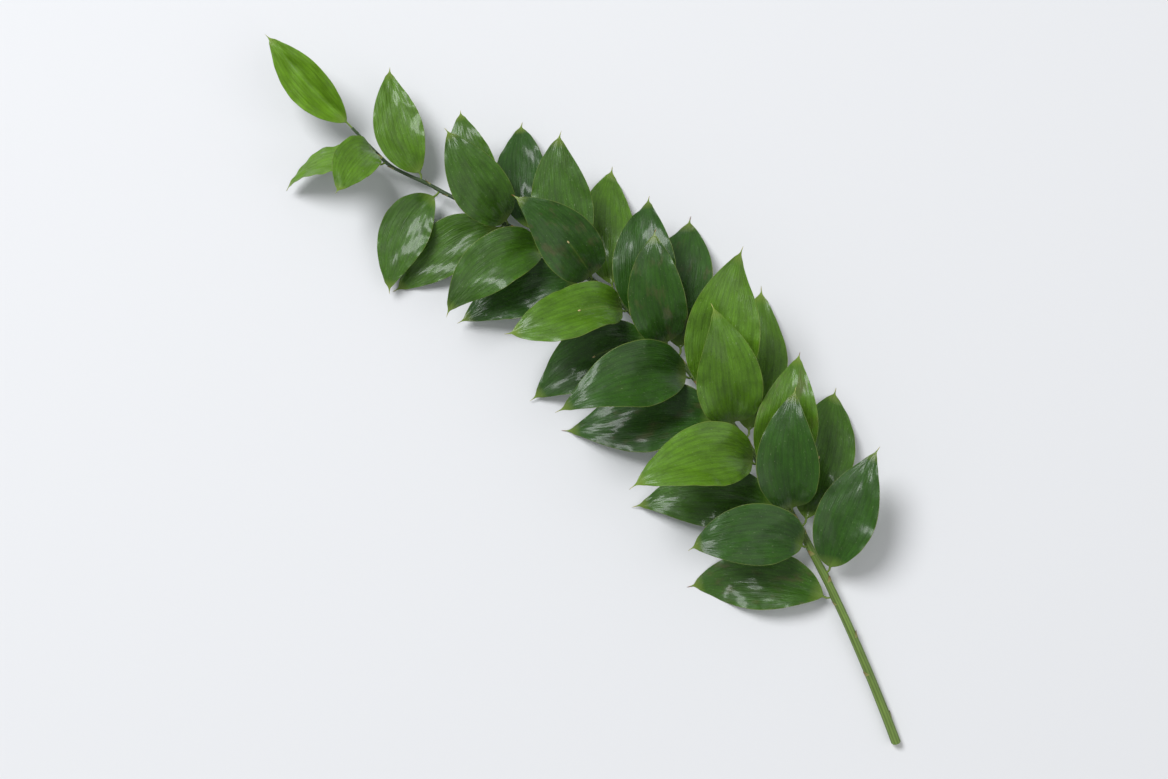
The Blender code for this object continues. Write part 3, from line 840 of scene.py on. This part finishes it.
class RUSCUS_OT_stem(bpy.types.Operator):
    """Grows the ridged stem with its knots and its slanted cut"""

    bl_idname = "ruscus.stem"
    bl_label = "Stem"

    def execute(self, context):
        settings = context.scene.ruscus_stem
        plant = Plant(settings)
        axis = plant.axis
        even = np.linspace(0, axis.length, STEM_RINGS)
        stations = np.concatenate([[0] * len(CUT_RINGS), even, [axis.length] * len(TIP_RINGS)])
        shares = np.concatenate([CUT_RINGS, np.ones(STEM_RINGS), TIP_RINGS])
        angles = np.arange(STEM_SIDES) * TURN / STEM_SIDES
        points = np.empty((len(stations), STEM_SIDES, 3))
        ridges = np.empty((len(stations), STEM_SIDES))
        for row, (station, share) in enumerate(zip(stations, shares)):
            ridges[row] = np.cos(settings.ridges * angles + RIDGES_WIND * station)
            radius = axis.radius(station) * (1 + RIDGE_HEIGHT * ridges[row])
            for leaf in plant.leaves[:-1]:
                nearness = np.clip(np.cos(angles - facing_of(leaf)), 0, 1) ** 2
                knot = math.exp(-(((station - leaf.station) / KNOT_SPREAD) ** 2))
                radius += KNOT_HEIGHT * knot * nearness
            slant = math.tan(settings.cut_slant) * math.exp(-station / SLANT_REACH)
            point, along, out = axis.around(station, angles)
            radius = (radius * share)[:, None]
            points[row] = point + out * radius - along * slant * radius * np.sin(angles)[:, None]
        i, j = np.meshgrid(np.arange(len(stations) - 1), np.arange(STEM_SIDES), indexing="ij")
        corners = ((i, j), (i, j + 1), (i + 1, j + 1), (i + 1, j))
        faces = np.stack([a * STEM_SIDES + b % STEM_SIDES for a, b in corners], axis=-1)
        faces = faces.reshape(-1, 4).tolist()
        last = (len(stations) - 1) * STEM_SIDES
        faces += [list(range(STEM_SIDES))[::-1], list(range(last, last + STEM_SIDES))]
        arc = TURN / STEM_SIDES * axis.radius(0.4 * axis.length) / MM
        places = np.stack([grid_map(stations[a] / MM, b * arc) for a, b in corners], axis=2).reshape(-1, 2)
        mesh = bpy.data.meshes.new("stem")
        mesh.from_pydata(points.reshape(-1, 3).tolist(), [], faces)
        mesh.materials.append(stem_skin(settings))
        mesh.materials.append(cut_pith())
        on_cut = np.zeros(len(faces), np.int32)
        on_cut[: (len(CUT_RINGS) - 1) * STEM_SIDES] = 1
        on_cut[-2] = 1
        mesh.polygons.foreach_set("material_index", on_cut)
        add_maps(mesh, {"millimetres": np.vstack([places, np.zeros((2 * STEM_SIDES, 2))])})
        # Each point's place between crest and groove, kept for the skin's painted shade in the grooves.
        height = mesh.attributes.new("ridge", "FLOAT", "POINT")
        height.data.foreach_set("value", ridges.ravel().astype(np.float32))
        mesh.shade_smooth()
        mesh.set_sharp_from_angle(angle=math.radians(SHARP_EDGE))
        put("stem", mesh, axis.points[0])
        return {"FINISHED"}


class RUSCUS_OT_leaves(bpy.types.Operator):
    """Grows every leaf on its stalk"""

    bl_idname = "ruscus.leaves"
    bl_label = "Leaves"

    def execute(self, context):
        settings = context.scene.ruscus_leaf
        plant = Plant(context.scene.ruscus_stem)
        axis = plant.axis
        finishes = (cuticle(settings), underside(settings))
        # Rows lie closer together at the stalk and at the point, and columns at the margins.
        even = np.linspace(0, 1, BLADE_ROWS + 1)
        u = (even + 0.5 - 0.5 * np.cos(math.pi * even)) / 2
        v = np.concatenate([[-1], np.linspace(-NEAR_MARGIN, NEAR_MARGIN, BLADE_COLUMNS - 1), [1]])
        stalk = (1 - ease((u - STALK_SHARE) / STALK_SHARE))[:, None]
        blade = settings.edge + (settings.thickness - settings.edge) * (1 - np.abs(v) ** 3)
        round_stalk = STALK_THICKNESS * np.sqrt(np.clip(1 - v**2, 0.03, 1))
        thickness = (blade + (round_stalk - blade) * stalk)[:, :, None]
        for leaf in plant.leaves:
            base, back, _ = leaf_base(leaf, axis)
            points = blade_surface(leaf, axis, u, v, settings.thickness / 2)
            points += back * (1 - ease(u / ROOT_SHARE))[:, None, None]
            width = half_width(leaf, u)[:, None] * v / MM
            # Each leaf's patterns start elsewhere, so that no two leaves are marked alike.
            length = (u * leaf.length / MM + 400 * leaf.phase)[:, None]
            maps = {"blade": grid_map(u[:, None], v), "millimetres": grid_map(length, width)}
            mesh = sheet_mesh(leaf.name, points, thickness, maps, finishes)
            for name in ("tone", "browned", "budded"):
                values = np.full(len(mesh.vertices), getattr(leaf, name), np.float32)
                mesh.attributes.new(name, "FLOAT", "POINT").data.foreach_set("value", values)
            put(leaf.name, mesh, base)
        return {"FINISHED"}


class RUSCUS_OT_scales(bpy.types.Operator):
    """Sets a dry papery scale on the stem behind each leaf"""

    bl_idname = "ruscus.scales"
    bl_label = "Scales"

    def execute(self, context):
        plant = Plant(context.scene.ruscus_stem)
        finish = papery("dry papery scale", "8f9657", "86683f")
        draw = random.Random(SCALE_SEED)
        rows, columns = np.linspace(0, 1, SCALE_ROWS), np.linspace(1, -1, SCALE_COLUMNS)
        places = [(leaf.station - SCALE_BEHIND, facing_of(leaf)) for leaf in plant.leaves[:-1]]
        places += [(station, math.radians(turned)) for station, turned in BARE_SCALES]
        for count, (tip, facing) in enumerate(places, start=1):
            length = SCALE_LENGTH * draw.uniform(*SCALE_LENGTH_VARIES)
            lift = draw.uniform(*SCALE_LIFT)
            points = np.empty((len(rows), len(columns), 3))
            for i, share in enumerate(rows):
                station = tip - length * (1 - share)
                spread = math.radians(SCALE_WRAP) * (1 - share) ** SCALE_ROUNDING + SCALE_TIP_WRAP
                point, _, out = plant.axis.around(station, facing + spread * columns)
                points[i] = point + out * (plant.axis.radius(station) + SCALE_CLEAR + lift * share**2)
            maps = {
                "blade": grid_map(rows[:, None], columns),
                "millimetres": grid_map(rows[:, None] * length / MM, 2 * columns),
            }
            mesh = sheet_mesh("scale", points, SCALE_THICKNESS, maps, (finish,))
            put(f"scale_{count:02d}", mesh, points[0, SCALE_COLUMNS // 2], replaces=False)
        return {"FINISHED"}


class RUSCUS_OT_buds(bpy.types.Operator):
    """Sets a small pointed bud at the end of each raised nerve"""

    bl_idname = "ruscus.buds"
    bl_label = "Buds"

    def execute(self, context):
        plant = Plant(context.scene.ruscus_stem)
        finish = papery("pale bud scales", "c2bd7c", "dcc191")
        patch = np.array([-1.0, 0.0, 1.0])
        u, v = BUD_SHARE + BUD_PATCH[0] * patch, BUD_PATCH[1] * patch
        long, wide, high = BUD_SIZE
        for leaf in plant.leaves:
            if not leaf.budded:
                continue
            points = blade_surface(leaf, plant.axis, u, v, 0)
            up = Vector(surface_normals(points)[1, 1])
            along = Vector(points[2, 1] - points[0, 1]).normalized()
            place = Matrix((along, up.cross(along), up)).transposed().to_4x4()
            place.translation = Vector(points[1, 1]) + up * BUD_CLEAR
            shape = bmesh.new()
            bmesh.ops.create_icosphere(shape, subdivisions=3, radius=1)
            for vertex in shape.verts:
                x, y, z = vertex.co
                slim = 1 - BUD_NARROWS[0] * x - BUD_NARROWS[1] * max(x, 0) ** 2
                height = high * z * slim + BUD_TURNS_UP * max(x, 0) ** 2
                vertex.co = Vector((long * x, wide * y * slim, height)) * MM
            mesh = bpy.data.meshes.new("bud")
            shape.to_mesh(mesh)
            shape.free()
            corners = np.empty(len(mesh.loops), np.int32)
            mesh.loops.foreach_get("vertex_index", corners)
            local = np.array([vertex.co for vertex in mesh.vertices])[corners] / MM
            reach = grid_map(local[:, 0] / (2 * long) + 0.5, local[:, 1])
            add_maps(mesh, {"blade": reach, "millimetres": local[:, :2]})
            mesh.materials.append(finish)
            mesh.shade_smooth()
            mesh.transform(place)
            put(f"bud_{leaf.name[5:]}", mesh, place.translation, replaces=False)
        return {"FINISHED"}


class RUSCUS_OT_stage(bpy.types.Operator):
    """Sets up the pale floor, the soft lights and the camera"""

    bl_idname = "ruscus.stage"
    bl_label = "Stage"

    def execute(self, context):
        settings = context.scene.ruscus_stage
        context.scene.view_settings.view_transform = "Standard"
        corners = [(x * FLOOR_REACH, y * FLOOR_REACH, 0) for x, y in ((-1, -1), (1, -1), (1, 1), (-1, 1))]
        mesh = bpy.data.meshes.new("floor")
        mesh.from_pydata(corners, [], [(0, 1, 2, 3)])
        mesh.materials.append(studio_card(settings.floor))
        floor = bpy.data.objects.new("floor", mesh)
        context.scene.collection.objects.link(floor)

        world = bpy.data.worlds.new("studio")
        world.use_nodes = True
        background = world.node_tree.nodes["Background"]
        background.inputs[0].default_value = (*linear("f1f4f7"), 1)
        background.inputs[1].default_value = settings.sky
        context.scene.world = world

        # The picture's right and its way ahead lie in the floor, and are turned against the stem.
        right = Vector((math.cos(settings.turn), -math.sin(settings.turn), 0))
        ahead = Vector((math.sin(settings.turn), math.cos(settings.turn), 0))
        up = Vector((0, 0, 1))
        as_pictured = Matrix((right, ahead, up)).transposed()
        target = as_pictured @ Vector(LOOKS_AT)
        for name, place, size, share, colour in LAMPS:
            light = bpy.data.lights.new(name, "AREA")
            light.shape = "DISK"
            light.size = size
            light.energy = settings.key * share
            light.color = linear(colour)
            lamp = bpy.data.objects.new(name, light)
            context.scene.collection.objects.link(lamp)
            away = as_pictured @ Vector(place)
            lamp.location = target + away
            lamp.rotation_euler = (-away).to_track_quat("-Z", "Y").to_euler()

        back = ahead * -math.cos(settings.elevation) + up * math.sin(settings.elevation)
        facing = Matrix((right, back.cross(right), back)).transposed()
        data = bpy.data.cameras.new("camera")
        data.lens = settings.lens
        camera = bpy.data.objects.new("camera", data)
        context.scene.collection.objects.link(camera)
        camera.matrix_world = Matrix.Translation(target + back * settings.distance) @ facing.to_4x4()
        context.scene.camera = camera
        return {"FINISHED"}


class RUSCUS_PT_panel(bpy.types.Panel):
    """Lists the pieces in the sidebar"""

    bl_idname = "RUSCUS_PT_panel"
    bl_label = "Ruscus stem"
    bl_space_type = "VIEW_3D"
    bl_region_type = "UI"
    bl_category = "Ruscus"

    def draw(self, context):
        for group, operators in (
            ("ruscus_stem", ("ruscus.stem", "ruscus.scales")),
            ("ruscus_leaf", ("ruscus.leaves", "ruscus.buds")),
            ("ruscus_stage", ("ruscus.stage",)),
        ):
            box = self.layout.box()
            settings = getattr(context.scene, group)
            for name in settings.bl_rna.properties.keys():
                if name not in ("rna_type", "name"):
                    box.prop(settings, name)
            for operator in operators:
                box.operator(operator)


SETTINGS = {
    "ruscus_stem": RuscusStemSettings,
    "ruscus_leaf": RuscusLeafSettings,
    "ruscus_stage": RuscusStageSettings,
}
CLASSES = (
    *SETTINGS.values(),
    RUSCUS_OT_stem,
    RUSCUS_OT_leaves,
    RUSCUS_OT_scales,
    RUSCUS_OT_buds,
    RUSCUS_OT_stage,
    RUSCUS_PT_panel,
)


def register():
    for cls in CLASSES:
        bpy.utils.register_class(cls)
    for name, group in SETTINGS.items():
        setattr(bpy.types.Scene, name, bpy.props.PointerProperty(type=group))


def unregister():
    for name in SETTINGS:
        delattr(bpy.types.Scene, name)
    for cls in reversed(CLASSES):
        bpy.utils.unregister_class(cls)


def main():
    register()
    ruscus = bpy.ops.ruscus
    for operator in (ruscus.stem, ruscus.leaves, ruscus.scales, ruscus.buds, ruscus.stage):
        operator()


if __name__ == "__main__":
    main()
